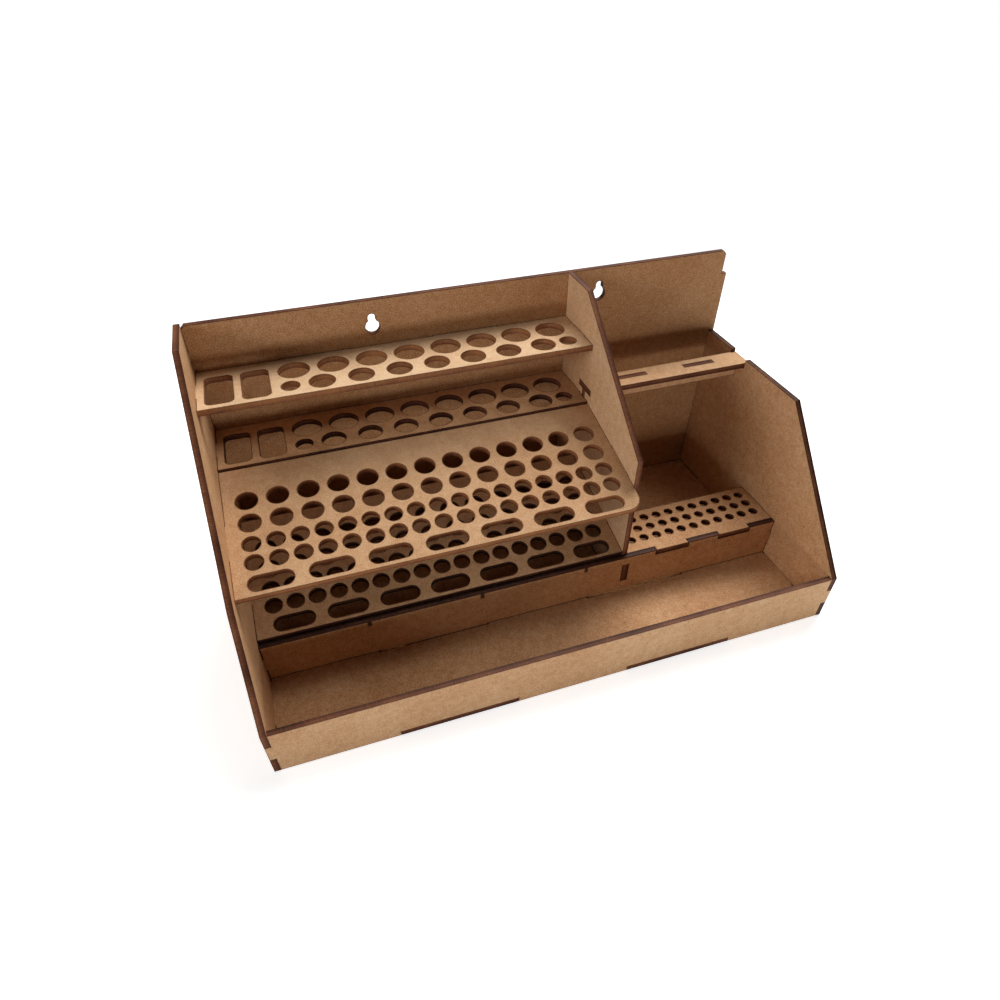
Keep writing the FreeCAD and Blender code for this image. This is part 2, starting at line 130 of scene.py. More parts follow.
class Tree:
    """A node tree under construction."""

    def __init__(self, tree):
        self.tree = tree
        self.tree.nodes.clear()

    def node(self, kind, settings=None, **sockets):
        """Adds a node: its settings first, then its sockets, by name, identifier or _place."""
        node = self.tree.nodes.new(kind)
        for name, value in (settings or {}).items():
            if name == "stops":
                set_stops(node.color_ramp, value)
            elif name == "choices":
                while len(node.index_switch_items) < value:
                    node.index_switch_items.new()
            else:
                setattr(node, name, value)
        for name, value in sockets.items():
            socket = input_socket(node, name)
            for source in value if isinstance(value, list) else [value]:
                if isinstance(source, Node):
                    source = source[source.node.outputs[0].identifier]
                if isinstance(source, Socket):
                    self.tree.links.new(source.output, socket)
                else:
                    socket.default_value = source
        return Node(self, node)

    def math(self, operation, *values):
        places = {"_%d" % place: value for place, value in enumerate(values)}
        return self.node("ShaderNodeMath", {"operation": operation}, **places)["Value"]


def set_stops(ramp, stops):
    while len(ramp.elements) < len(stops):
        ramp.elements.new(0.5)
    for element, (place, colour) in zip(ramp.elements, stops):
        element.position = place
        element.color = (*colour, 1.0)


def input_socket(node, name):
    """The input called name, where two underscores stand for a space and _2 is the third input."""
    if name[0] == "_" and name[1:].isdigit():
        return node.inputs[int(name[1:])]
    name = name.replace("__", " ")
    by_identifier = [s for s in node.inputs if s.identifier == name]
    by_name = [s for s in node.inputs if s.name == name and s.enabled]
    return (by_identifier or by_name)[0]


class Paint(Tree):
    """A material."""

    def __init__(self, name):
        self.material = bpy.data.materials.new(name)
        self.material.use_nodes = True
        super().__init__(self.material.node_tree)

    def mix(self, factor, low, high):
        """Colour between low and high."""
        low, high = [(*c, 1.0) if isinstance(c, tuple) else c for c in (low, high)]
        settings = {"data_type": "RGBA", "clamp_factor": True}
        mixed = self.node("ShaderNodeMix", settings, Factor_Float=factor, A_Color=low, B_Color=high)
        return mixed["Result_Color"]

    def parts(self, vector):
        """The vector's X, Y and Z, taken by name."""
        return self.node("ShaderNodeSeparateXYZ", {}, Vector=vector)

    def attribute(self, name):
        return self.node("ShaderNodeAttribute", {"attribute_type": "GEOMETRY", "attribute_name": name})["Fac"]

    def stretch(self, vector, factors):
        settings = {"operation": "MULTIPLY"}
        return self.node("ShaderNodeVectorMath", settings, _0=vector, _1=factors)["Vector"]

    def noise(self, vector, scale, detail=2.0, roughness=0.5, distortion=0.0):
        return self.node("ShaderNodeTexNoise", {}, Vector=vector, Scale=scale, Detail=detail,
                         Roughness=roughness, Distortion=distortion)["Fac"]

    def ramp(self, value, start, end, smooth=False):
        """Line through two (from value, to value) pairs, flat outside them."""
        settings = {"clamp": True, "interpolation_type": "SMOOTHSTEP" if smooth else "LINEAR"}
        return self.node("ShaderNodeMapRange", settings, Value=value, _1=start[0], _2=end[0],
                         _3=start[1], _4=end[1])["Result"]

    def finish(self, colour, roughness, height, depth, **constants):
        bump = self.node("ShaderNodeBump", {}, Height=height, Distance=depth, Strength=1.0)["Normal"]
        shader = self.node("ShaderNodeBsdfPrincipled", {}, Base__Color=colour, Roughness=roughness,
                           Normal=bump, **constants)
        self.node("ShaderNodeOutputMaterial", {}, Surface=shader["BSDF"])
        return self.material


class Jig(Tree):
    """A Geometry Nodes tree with named inputs, given as (name, kind)."""

    def __init__(self, name, *inputs):
        super().__init__(bpy.data.node_groups.new(name, "GeometryNodeTree"))
        face = self.tree.interface
        face.new_socket("Geometry", in_out="OUTPUT", socket_type="NodeSocketGeometry")
        for title, kind in (("Geometry", "Geometry"), *inputs, ("Material", "Material")):
            face.new_socket(title, in_out="INPUT", socket_type="NodeSocket" + kind)
        self.inputs = self.node("NodeGroupInput")

    def combine(self, x=0.0, y=0.0, z=0.0):
        return self.node("ShaderNodeCombineXYZ", {}, X=x, Y=y, Z=z)

    def here(self):
        """Each point's X, Y and Z, taken by name."""
        return self.node("ShaderNodeSeparateXYZ", {}, Vector=self.node("GeometryNodeInputPosition"))

    def store(self, geometry, name, value):
        settings = {"data_type": "FLOAT", "domain": "POINT"}
        return self.node("GeometryNodeStoreNamedAttribute", settings, Geometry=geometry, Name=name,
                         Value=value)["Geometry"]

    def wander(self, seed, scale):
        """Smooth noise along a line, which differs with the seed."""
        place = self.node("GeometryNodeInputPosition")
        return self.node("ShaderNodeTexNoise", {"noise_dimensions": "4D"}, Vector=place, W=seed,
                         Scale=scale, Detail=2.0)["Fac"]

    def finish(self, geometry):
        real = self.node("GeometryNodeRealizeInstances", {}, Geometry=geometry)
        painted = self.node("GeometryNodeSetMaterial", {}, Geometry=real["Geometry"],
                            Material=self.inputs["Material"])
        self.node("NodeGroupOutput", {}, Geometry=painted["Geometry"])
        return self.tree


def use(piece, jig, **values):
    """Adds the jig to the piece, with its inputs set by their identifiers."""
    modifier = piece.modifiers.new(jig.name, "NODES")
    modifier.node_group = jig
    for item in jig.interface.items_tree:
        name = item.name.replace(" ", "_")
        if item.in_out == "INPUT" and name in values:
            modifier[item.identifier] = values[name]


def made(piece):
    """The piece's final plain mesh, with its jigs and empty material slots removed."""
    bpy.context.view_layer.update()
    mesh = bpy.data.meshes.new_from_object(piece.evaluated_get(bpy.context.evaluated_depsgraph_get()))
    for slot in reversed(range(len(mesh.materials))):
        if mesh.materials[slot] is None:
            mesh.materials.pop(index=slot)
    piece.modifiers.clear()
    piece.data = mesh
    mesh.name = piece.name
    return mesh


def new_piece(name, mesh=None):
    piece = bpy.data.objects.new(name, mesh or bpy.data.meshes.new(name))
    bpy.context.scene.collection.objects.link(piece)
    return piece


# ---- jigs for the laser-cut sheets -------------------------------------------------------

# Across a cut, from the upper face round to the lower one: how far from the cut, and how deep.
CUT_SECTION = ((SCORCH, 0.0), (LIP, 0.0), (0.0, LIP), (0.0, BOARD - LIP), (LIP, BOARD), (SCORCH, BOARD))


def opening_ring(jig):
    """A circle whose four quarters are pulled apart by the jig's stretches."""
    given = jig.inputs
    ring = jig.node("GeometryNodeCurvePrimitiveCircle", {"mode": "RADIUS"}, Resolution=given["Sides"],
                    Radius=given["Radius"])
    turn = jig.node("FunctionNodeEulerToRotation", {}, Euler=jig.combine(z=math.pi / given["Sides"]))
    ring = jig.node("GeometryNodeTransform", {}, Geometry=ring["Curve"], Rotation=turn["Rotation"])
    place = jig.here()
    pull = jig.combine(((place["X"] > 0.0) * 2.0 - 1.0) * given["Stretch X"],
                       ((place["Y"] > 0.0) * 2.0 - 1.0) * given["Stretch Y"])
    ring = jig.node("GeometryNodeSetPosition", {}, Geometry=ring["Geometry"], Offset=pull)
    return jig.node("GeometryNodeSetCurveNormal", {"mode": "Z_UP"}, Curve=ring["Geometry"])["Curve"]


def cut_profile(jig):
    """CUT_SECTION as a curve that knows how far each point is from the cut and how deep."""
    points = {"_%d" % (i + 1): (away, depth, 0.0) for i, (away, depth) in enumerate(CUT_SECTION)}
    index = jig.node("GeometryNodeInputIndex")
    settings = {"data_type": "VECTOR", "choices": len(CUT_SECTION)}
    section = jig.node("GeometryNodeIndexSwitch", settings, Index=index, **points)
    line = jig.node("GeometryNodeMeshLine", {"mode": "OFFSET"}, Count=len(CUT_SECTION))
    line = jig.node("GeometryNodeSetPosition", {}, Geometry=line["Mesh"], Position=section["Output"])
    place = jig.here()
    line = jig.store(line["Geometry"], "from_cut", (place["X"] + CLEAN) / MM)
    line = jig.store(line, "depth", place["Y"] / BOARD)
    return jig.node("GeometryNodeMeshToCurve", {}, Mesh=line)["Curve"]


def perforation_jig():
    """A row of round or lengthened openings, each with its scorched rim."""
    jig = Jig("perforation", ("First", "Vector"), ("Step", "Vector"), ("Count", "Int"),
              ("Radius", "Float"), ("Stretch X", "Float"), ("Stretch Y", "Float"), ("Sides", "Int"))
    given = jig.inputs
    rim = jig.node("GeometryNodeCurveToMesh", {}, Curve=opening_ring(jig), Profile__Curve=cut_profile(jig))
    rim = jig.node("GeometryNodeFlipFaces", {}, Mesh=rim["Mesh"])
    row = jig.node("GeometryNodeMeshLine", {"mode": "OFFSET"}, Count=given["Count"],
                   Start__Location=given["First"], Offset=given["Step"])
    row = jig.node("GeometryNodeInstanceOnPoints", {}, Points=row["Mesh"], Instance=rim["Mesh"])
    both = jig.node("GeometryNodeJoinGeometry", {}, Geometry=[given["Geometry"], row["Instances"]])
    return jig.finish(both["Geometry"])


def board_jig():
    """Fills the two faces of a sheet between the rims of its cuts."""
    jig = Jig("board", ("Thickness", "Float"), ("Band", "Float"))
    given = jig.inputs
    open_edge = jig.node("GeometryNodeInputMeshEdgeNeighbors")["Face Count"] < 1.5
    upper_half = jig.here()["Z"] > given["Thickness"] * -0.5
    lines = jig.node("GeometryNodeMeshToCurve", {}, Mesh=given["Geometry"],
                     Selection=open_edge * upper_half)
    face = jig.node("GeometryNodeFillCurve", {}, Curve=lines["Curve"])
    upper = jig.store(face["Mesh"], "from_cut", given["Band"] / MM)
    upper = jig.store(upper, "depth", 0.0)
    lower = jig.node("GeometryNodeFlipFaces", {}, Mesh=upper)
    lower = jig.node("GeometryNodeTransform", {}, Geometry=lower["Mesh"],
                     Translation=jig.combine(z=-given["Thickness"]))
    lower = jig.store(lower["Geometry"], "depth", 1.0)
    whole = jig.node("GeometryNodeJoinGeometry", {}, Geometry=[given["Geometry"], upper, lower])
    whole = jig.node("GeometryNodeMergeByDistance", {}, Geometry=whole["Geometry"], Distance=MERGE)
    return jig.finish(whole["Geometry"])


# ---- cutting a sheet ---------------------------------------------------------------------

ROUND_CORNERS = range(11, 40)       # how many corners the frame's round and lengthened openings have
STRAIGHT = 0.45                     # share of an opening's size from which a side counts as straight
LOOKS_UP = 0.9                      # least z of the normal of a face that looks up


def cut_lines(name, turn):
    """The closed lines cut in a sheet, drawn flat with the board on their left, and its upper height."""
    drawing = bmesh.new()
    drawing.from_mesh(frame["nodes"][name].data)
    bmesh.ops.remove_doubles(drawing, verts=drawing.verts, dist=MERGE)
    drawing.transform(turn)
    drawing.normal_update()
    top = max(v.co.z for v in drawing.verts)
    faces = [face for face in drawing.faces if lies_at(face, top)]
    upper = set(faces)
    follow = {}
    for face in faces:
        for corner in face.loops:
            if sum(other in upper for other in corner.edge.link_faces) == 1:
                follow[corner.vert] = corner.link_loop_next.vert
    lines = []
    while follow:
        vertex = next(iter(follow))
        line = []
        while vertex in follow:
            line.append(vertex.co.xy)
            vertex = follow.pop(vertex)
        lines.append([point.copy() for point in line])
    drawing.free()
    return lines, top


def lies_at(face, height):
    """Whether the face looks up and lies flat at that height."""
    return face.normal.z > LOOKS_UP and all(abs(v.co.z - height) < SAME for v in face.verts)


def opening(line):
    """(x, y, radius, stretch x, stretch y) of a round, long or pocket-shaped opening, or None."""
    if len(line) not in ROUND_CORNERS or turns_left(line):
        return None
    centre = sum(line, Vector((0.0, 0.0))) / len(line)
    width = max(p.x for p in line) - min(p.x for p in line)
    height = max(p.y for p in line) - min(p.y for p in line)
    sides = list(zip(line, line[1:] + line[:1]))
    level = max([abs(a.x - b.x) for a, b in sides if abs(a.y - b.y) < SAME] or [0.0])
    upright = max([abs(a.y - b.y) for a, b in sides if abs(a.x - b.x) < SAME] or [0.0])
    if level < STRAIGHT * width:
        return centre.x, centre.y, max((p - centre).length for p in line), 0.0, 0.0
    if upright < STRAIGHT * height:
        upright = 0.0
    return centre.x, centre.y, (height - upright) / 2, level / 2, upright / 2


def turns_left(line):
    return sum(a.x * b.y - b.x * a.y for a, b in zip(line, line[1:] + line[:1])) > 0


def rows(openings):
    """Openings of one shape in one row, as (first, step, count, radius, stretch x, stretch y)."""
    alike = {}
    for x, y, *shape in openings:
        row = (round(y / MM, 2), *(round(size / MM, 2) for size in shape))
        alike.setdefault(row, []).append(x)
    for (y, radius, across, along), places in sorted(alike.items()):
        places.sort()
        gaps = len(places) - 1
        step = (places[-1] - places[0]) / gaps if gaps else 0.0
        first = (places[0], y * MM, 0.0)
        yield first, (step, 0.0, 0.0), len(places), radius * MM, across * MM, along * MM


def moved_in(line, away):
    """The line moved to its left by away, with mitred corners."""
    for before, here, after in zip(line[-1:] + line[:-1], line, line[1:] + line[:1]):
        a, b = (here - before).normalized(), (after - here).normalized()
        left_a, left_b = Vector((-a.y, a.x)), Vector((-b.y, b.x))
        yield here + (left_a + left_b) * (away / (1.0 + left_a.dot(left_b)))


def rims(lines):
    """A mesh of the scorched rims along straight-sided cuts."""
    shell = bmesh.new()
    from_cut = shell.verts.layers.float.new("from_cut")
    depths = shell.verts.layers.float.new("depth")
    for line in lines:
        rings = []
        for away, depth in CUT_SECTION:
            ring = [shell.verts.new((*corner, -depth)) for corner in moved_in(line, away)]
            for vertex in ring:
                vertex[from_cut] = away / MM
                vertex[depths] = depth / BOARD
            rings.append(ring)
        for outer, inner in zip(rings, rings[1:]):
            for i in range(len(line)):
                j = (i + 1) % len(line)
                shell.faces.new((outer[j], outer[i], inner[i], inner[j]))
    mesh = bpy.data.meshes.new("rims")
    shell.to_mesh(mesh)
    shell.free()
    return mesh


def cut_sheet(name, turn, material, perforate, fill):
    """The sheet called name, cut again with round openings and scorched, slightly rounded edges."""
    flat = Euler(turn).to_matrix().to_4x4()
    lines, top = cut_lines(name, flat)
    shapes = [(line, opening(line)) for line in lines]
    piece = new_piece("cut_" + name, rims([line for line, shape in shapes if shape is None]))
    for first, step, count, radius, across, along in rows([shape for line, shape in shapes if shape]):
        sides = FINE if radius > LARGE_OPENING else COARSE
        use(piece, perforate, First=first, Step=step, Count=count, Radius=radius, Stretch_X=across,
            Stretch_Y=along, Sides=sides, Material=material)
    use(piece, fill, Thickness=BOARD, Band=SCORCH, Material=material)
    mesh = made(piece)
    mesh.transform(flat.inverted() @ Matrix.Translation((0.0, 0.0, top)))
    mesh.shade_smooth()
    mesh.set_sharp_from_angle(angle=SHARP)
    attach(piece, "root")
    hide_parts(name)
    frame["record"]["materials"][0]["slot"]


# ---- fibreboard --------------------------------------------------------------------------

TAN_DARK, TAN, TAN_LIGHT = (0.38, 0.166, 0.056), (0.555, 0.312, 0.156), (0.72, 0.495, 0.300)
FIBRE_DARK, FIBRE_LIGHT = (0.19, 0.085, 0.034), (0.78, 0.58, 0.38)
# SOOT_AND_JOINT_SHADE colours the burnt ticks and the dark line along the cuts, which is soot and, where
# sheets meet, painted shade in the joint.
SOOT_AND_JOINT_SHADE, SMOKE = (0.060, 0.023, 0.011), (0.22, 0.095, 0.040)
CHAR_BLACK, CHAR_BROWN, CHAR_ORANGE = (0.028, 0.010, 0.005), (0.138, 0.047, 0.023), (0.34, 0.142, 0.053)
BOARD_SHADES = [(0.12, TAN_DARK), (0.5, TAN), (0.9, TAN_LIGHT)]
CHAR_SHADES = [(0.22, CHAR_BLACK), (0.52, CHAR_BROWN), (0.88, CHAR_ORANGE)]
BOARD_GLOSS = 0.12                  # specular level: the board hardly shines
BOARD_RELIEF = 0.05 * MM
FACE_ROUGH, FACE_VARIES = 0.66, 0.22    # roughness of a face, and how much its flecks change it
EDGE_ROUGH, EDGE_VARIES = 0.50, 0.35    # the same of a cut edge and its streaks
FACE_FIBRE, FACE_FLECK = 0.5, 0.5       # how much of the relief each makes on a face
EDGE_STREAK, EDGE_FLECK = 1.8, 0.4      # and on a cut edge

# Noises of the board, as (repeats in a millimetre, detail, roughness, distortion).
CHIPS = 0.42                        # patches whose fibres lie one way
FIBRE_STRETCH = (2.9, 0.42, 1.0)    # a fibre is about seven times as long as it is wide
FIBRES = (1.0, 2.0, 0.55)
FLECKS = (1.7, 3.0, 0.62)
CLUMPS = (0.30, 3.0, 0.55)
CLOUDS = (0.020, 3.0, 0.5, 0.4)
STREAK_STRETCH = (2.6, 2.6, 0.30)   # streaks run through the thickness of the board
STREAKS = (1.0, 3.0, 0.6)
PATCHES = (0.055, 2.0, 0.5)

# How much of each noise goes into the face's shade, and into the raggedness of the burns in millimetres.
SHADE_FLECK, SHADE_CLUMP, SHADE_CLOUD = 0.84, 0.46, 0.50
SMOKE_CLUMP, SMOKE_FLECK, SOOT_FLECK = 0.35, 0.25, 0.30
TICK_FLECK, TICK_CLUMP = 0.8, 1.0

# How far a burn fades beyond its edge and before it, in millimetres, and how black it is at the most.
SOOT_BLUR = (0.12, 0.10)
TICK_SIDE_BLUR, TICK_END_BLUR = (0.5, 0.3), (0.7, 0.6)
SOOT_MOST = 0.95

# How much of each goes into the heat of a cut edge, which is 0 where it is black and 1 where it is orange.
HEAT_STREAK, HEAT_PATCH, HEAT_DEPTH, HEAT_CHAR, HEAT_BASE = 0.55, 0.55, 0.40, 0.30, -0.22
PALEST_DEPTH = 0.30                 # share of the board's thickness, from the beam's side, that burns least

# Lines for Paint.ramp, each from its first (value, result) pair to its second.
PRESSED_FACE = (0.75, 0.0), (0.95, 1.0)         # by how squarely a point faces up or down
DARK_FIBRES = (0.60, 0.0), (0.76, 0.38)
PALE_FIBRES = (0.40, 0.22), (0.26, 0.0)
PALE_FLECKS = (0.45, 0.0), (0.6, 1.0)
SMOKE_REACH = (0.78, 0.0), (0.10, 1.0)          # by the millimetres from a cut
SMOKE_CLOUDS = (0.35, 0.15), (0.65, 0.40)


def grain(paint, here):
    """The board's fibres, which lie every way, and its flecks, clumps and clouds."""
    chip = paint.node("ShaderNodeTexVoronoi", {"feature": "F1"}, Vector=here, Scale=CHIPS)["Color"]
    lie = paint.node("ShaderNodeVectorRotate", {"rotation_type": "Z_AXIS"}, Vector=here,
                     Angle=paint.parts(chip)["X"] * math.pi)
    fibre = paint.noise(paint.stretch(lie["Vector"], FIBRE_STRETCH), *FIBRES)
    return fibre, paint.noise(here, *FLECKS), paint.noise(here, *CLUMPS), paint.noise(here, *CLOUDS)


def pressed_face(paint, tone_and_painted_light, fibre, fleck, clump, cloud):
    """Colour of the board's face: chopped fibres over soft clouds."""
    # The sheet's tone shifts the whole face; on some sheets it is painted shade or painted light.
    shade = fleck.swing(SHADE_FLECK) + clump.swing(SHADE_CLUMP) + cloud.swing(SHADE_CLOUD) + (0.5 + tone_and_painted_light)
    tan = paint.node("ShaderNodeValToRGB", {"stops": BOARD_SHADES}, Fac=shade)["Color"]
    tan = paint.mix(paint.ramp(fibre, *DARK_FIBRES), tan, FIBRE_DARK)
    pale = paint.ramp(fibre, *PALE_FIBRES) * paint.ramp(fleck, *PALE_FLECKS)
    return paint.mix(pale, tan, FIBRE_LIGHT)


def burnt_within(paint, reach, distance, blur, most):
    """How burnt a point is: most within reach of a mark, fading in the blur beyond and before its edge."""
    beyond, before = blur
    return paint.ramp(distance, (reach + beyond, 0.0), (reach - before, most))


def smoked(paint, tan, from_cut, soot_and_joint_shade, fleck, clump, cloud):
    """The face's colour with smoke beside the cuts and a dark line along them, which is soot and, in the
    joints, painted shade.
    """
    ragged = from_cut + clump.swing(SMOKE_CLUMP) + fleck.swing(SMOKE_FLECK)
    haze = paint.ramp(ragged, *SMOKE_REACH) * paint.ramp(cloud, *SMOKE_CLOUDS)
    tan = paint.mix(haze, tan, SMOKE)
    # The dark line along a cut: soot, widened on some sheets as painted shade in the joints where other
    # sheets meet them.
    line = burnt_within(paint, soot_and_joint_shade, from_cut + fleck.swing(SOOT_FLECK), SOOT_BLUR, SOOT_MOST)
    return paint.mix(line, tan, SOOT_AND_JOINT_SHADE)


def ticked(paint, tan, spot, tick, fleck, clump):
    """The face's colour with one burnt tick, given as (x, lowest, highest, width)."""
    x, low, high, width = tick
    half_width, half_height = width / MM / 2, (high - low) / MM / 2
    beside = abs(spot["X"] - x) / MM + fleck.swing(TICK_FLECK)
    above = abs(spot["Z"] - (low + high) / 2) / MM + clump.swing(TICK_CLUMP)
    across = burnt_within(paint, half_width, beside, TICK_SIDE_BLUR, SOOT_MOST)
    upright = burnt_within(paint, half_height, above, TICK_END_BLUR, 1.0)
    return paint.mix(across * upright, tan, SOOT_AND_JOINT_SHADE)


def charred_edge(paint, here, depth, char, streak):
    """Colour of a cut edge: charred, streaked through the board, sootiest where the beam left it."""
    patch = paint.noise(here, *PATCHES)
    through = 0.5 - abs(depth - PALEST_DEPTH)
    heat = streak * HEAT_STREAK + patch * HEAT_PATCH + through * HEAT_DEPTH + (char * HEAT_CHAR + HEAT_BASE)
    return paint.node("ShaderNodeValToRGB", {"stops": CHAR_SHADES}, Fac=heat)["Color"]


def fibreboard(name, turn, offset, tone_and_painted_light, char, soot_and_joint_shade, ticks):
    """Laser-cut fibreboard. turn brings the sheet's thickness to z, and the rest is as in SHEETS."""
    paint = Paint("fibreboard_" + name)
    place = paint.node("ShaderNodeTexCoord")
    here = paint.node("ShaderNodeMapping", {"vector_type": "POINT"}, Vector=place["Object"],
                      Location=offset, Rotation=turn, Scale=(1.0 / MM, 1.0 / MM, 1.0 / MM))["Vector"]
    facing = paint.node("ShaderNodeMapping", {"vector_type": "POINT"}, Vector=place["Normal"], Rotation=turn)
    face = paint.ramp(abs(paint.parts(facing)["Z"]), *PRESSED_FACE)
    from_cut, depth = paint.attribute("from_cut"), paint.attribute("depth")
    fibre, fleck, clump, cloud = grain(paint, here)
    streak = paint.noise(paint.stretch(here, STREAK_STRETCH), *STREAKS)

    tan = pressed_face(paint, tone_and_painted_light, fibre, fleck, clump, cloud)
    tan = smoked(paint, tan, from_cut, soot_and_joint_shade, fleck, clump, cloud)
    for tick in ticks:
        tan = ticked(paint, tan, paint.parts(place["Object"]), tick, fleck, clump)
    colour = paint.mix(face, charred_edge(paint, here, depth, char, streak), tan)

    edge = 1.0 - face
    face_rough = FACE_ROUGH + fleck.swing(FACE_VARIES)
    edge_rough = EDGE_ROUGH + streak.swing(EDGE_VARIES)
    face_height = fibre * FACE_FIBRE + fleck * FACE_FLECK
    edge_height = streak * EDGE_STREAK + fleck * EDGE_FLECK
    rough = face_rough * face + edge_rough * edge
    height = face_height * face + edge_height * edge
    return paint.finish(colour, rough, height, BOARD_RELIEF, Specular__IOR__Level=BOARD_GLOSS)


# ---- the organizer -----------------------------------------------------------------------

LEVEL = (0.0, 0.0, 0.0)
ACROSS = (-math.pi / 2, 0.0, 0.0)
LENGTHWISE = (0.0, math.pi / 2, 0.0)
SLOPING = (-RACK_TILT, 0.0, 0.0)

# Each sheet's lie, the place of its grain in millimetres, its tone, darker below 0 and paler above,
# how its cut edges are burnt, from about -1, sooty, to 1, toasted, and the width in millimetres of
# the soot line beside its straight cuts. The tone is partly painted light: painted shade darkens the
# back panel and right side, and painted light pales the divider and the upper shelf. The soot line is
# partly painted shade: on the floor plate and riser it is widened to darken the joints where other
# sheets meet them.
SHEETS = {
    "floor_plate": (LEVEL, (11.0, 3.0, 5.0), -0.12, 0.0, 0.60),
    "front_panel": (ACROSS, (71.0, 13.0, 35.0), 0.03, 0.0, 0.16),
    # painted shade: the back panel's darker tone stands for the shade inside the organizer
    "back_panel": (ACROSS, (31.0, 43.0, 55.0), -0.28, 0.0, 0.25),
    "left_side": (LENGTHWISE, (17.0, 83.0, 59.0), 0.0, 0.2, 0.20),
    # painted shade: the right side's darker tone stands for the shade deep in the right bay
    "right_side": (LENGTHWISE, (91.0, 53.0, 15.0), -0.05, -0.3, 0.25),
    # painted light: the divider's paler tone stands for the brighter light falling on it
    "divider": (LENGTHWISE, (41.0, 23.0, 75.0), 0.12, 0.2, 0.25),
    # painted highlight: the upper shelf's paler tone stands for the strong light on its top
    "upper_shelf": (LEVEL, (61.0, 33.0, 45.0), 0.29, 1.1, 0.42),
    "lower_shelf": (LEVEL, (21.0, 63.0, 85.0), -0.05, -0.2, 0.42),
    "main_rack": (SLOPING, (81.0, 73.0, 25.0), 0.0, 0.9, 0.30),
    "lower_rack": (SLOPING, (51.0, 93.0, 65.0), -0.06, -0.9, 0.42),
    "riser": (ACROSS, (19.0, 39.0, 49.0), -0.12, -0.55, 0.60),
    "bit_plate": (LEVEL, (29.0, 9.0, 89.0), -0.12, 0.0, 0.30),
    "pliers_bar": (LEVEL, (39.0, 19.0, 9.0), 0.05, 0.0, 0.25),
    "bar_rail": (ACROSS, (49.0, 29.0, 19.0), 0.0, 0.2, 0.25),
}

TICKS = (57.5 * MM, 117.5 * MM, 177.0 * MM)     # burnt ticks at the top of the riser, from the left end
TICK_HEIGHT, TICK_WIDTH = 3.8 * MM, 2.0 * MM
LEFT_BAY = 30.0 * MM                # this much of the riser's left end is all in the left bay


def riser_ticks():
    """The burnt ticks, as (x, lowest, highest, width)."""
    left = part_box("riser")[0].x
    points = frame["nodes"]["riser"].data.vertices
    top = max(v.co.z for v in points if v.co.x < left + LEFT_BAY)
    return [(left + x, top - TICK_HEIGHT, top, TICK_WIDTH) for x in TICKS]


def organizer():
    perforate, fill = perforation_jig(), board_jig()
    for name, (turn, offset, tone_and_painted_light, char, soot_and_joint_shade) in SHEETS.items():
        ticks = riser_ticks() if name == "riser" else ()
        material = fibreboard(name, turn, offset, tone_and_painted_light, char, soot_and_joint_shade, ticks)
        cut_sheet(name, turn, material, perforate, fill)


# ---- dried glue --------------------------------------------------------------------------

# Beads of glue between the riser and the floor, each from and to a place along the riser.
GLUE_RUNS = (("riser_glue", 180.0 * MM, 239.0 * MM), ("riser_glue_thread", 189.0 * MM, 216.0 * MM),
             ("riser_glue_end", 63.0 * MM, 74.0 * MM))
GLUE_RADIUS, GLUE_WANDER = 0.50 * MM, 4.0 * MM
GLUE_OUT, GLUE_UP = 0.15 * MM, 0.1 * MM         # the bead's middle, from the riser and from the floor
GLUE_STEP, GLUE_SIDES = 0.5 * MM, 10            # distance between a bead's rings, and their corners
GLUE_SWAY, GLUE_SWELL = 0.22 / MM, 0.35 / MM    # how quickly a bead wanders and swells along its run
GLUE_THIN, GLUE_VARIES = 0.35, 1.3  # least size of a bead, and how much swelling adds to it
GLUE_BLUNT = 6.0                    # how late a bead tapers towards its ends
GLUE_END = 0.05                     # size left at the very ends
OTHER_SEED = 7.0                    # added to a bead's seed for its swelling

GLUE_DEEP, GLUE_PALE, GLUE_SPECK = (0.45, 0.23, 0.095), (0.68, 0.44, 0.22), (0.26, 0.115, 0.045)
GLUE_CLOUDS = (0.30 / MM, 3.0, 0.6)
GLUE_FLECKS = (1.4 / MM, 2.0, 0.5)
GLUE_SPECKS = (0.55, 0.0), (0.75, 0.5)          # line for Paint.ramp, by the flecks
GLUE_ROUGH, GLUE_CLOUD_ROUGH = 0.34, 0.2        # least roughness, and how much the clouds add to it
GLUE_RELIEF, GLUE_FLECK_RELIEF = 0.10 * MM, 0.3     # relief of the clouds, and the flecks' share of it


def glue_jig():
    """A bead of dried glue in a corner, which drifts out over the floor and up the wall behind."""
    jig = Jig("glue_bead", ("Start", "Vector"), ("End", "Vector"), ("Radius", "Float"),
              ("Wander", "Float"), ("Seed", "Float"))
    given = jig.inputs
    line = jig.node("GeometryNodeCurvePrimitiveLine", {}, Start=given["Start"], End=given["End"])
    line = jig.node("GeometryNodeResampleCurve", {"mode": "LENGTH"}, Curve=line["Curve"], Length=GLUE_STEP)
    drift = jig.wander(given["Seed"], GLUE_SWAY).swing(given["Wander"])
    out, up = jig.math("MINIMUM", drift, 0.0), jig.math("MAXIMUM", drift, 0.0)
    swell = jig.wander(given["Seed"] + OTHER_SEED, GLUE_SWELL)
    line = jig.node("GeometryNodeSetPosition", {}, Geometry=line["Curve"], Offset=jig.combine(y=out, z=up))
    from_middle = abs(jig.node("GeometryNodeSplineParameter")["Factor"] * 2.0 - 1.0)
    taper = (1.0 + GLUE_END) - jig.math("POWER", from_middle, GLUE_BLUNT)
    size = given["Radius"] * (GLUE_THIN + swell * GLUE_VARIES) * taper
    profile = jig.node("GeometryNodeCurvePrimitiveCircle", {"mode": "RADIUS"},
                       Resolution=GLUE_SIDES, Radius=1.0)
    bead = jig.node("GeometryNodeCurveToMesh", {}, Curve=line["Geometry"],
                    Profile__Curve=profile["Curve"], Scale=size, Fill__Caps=True)
    return jig.finish(bead["Mesh"])


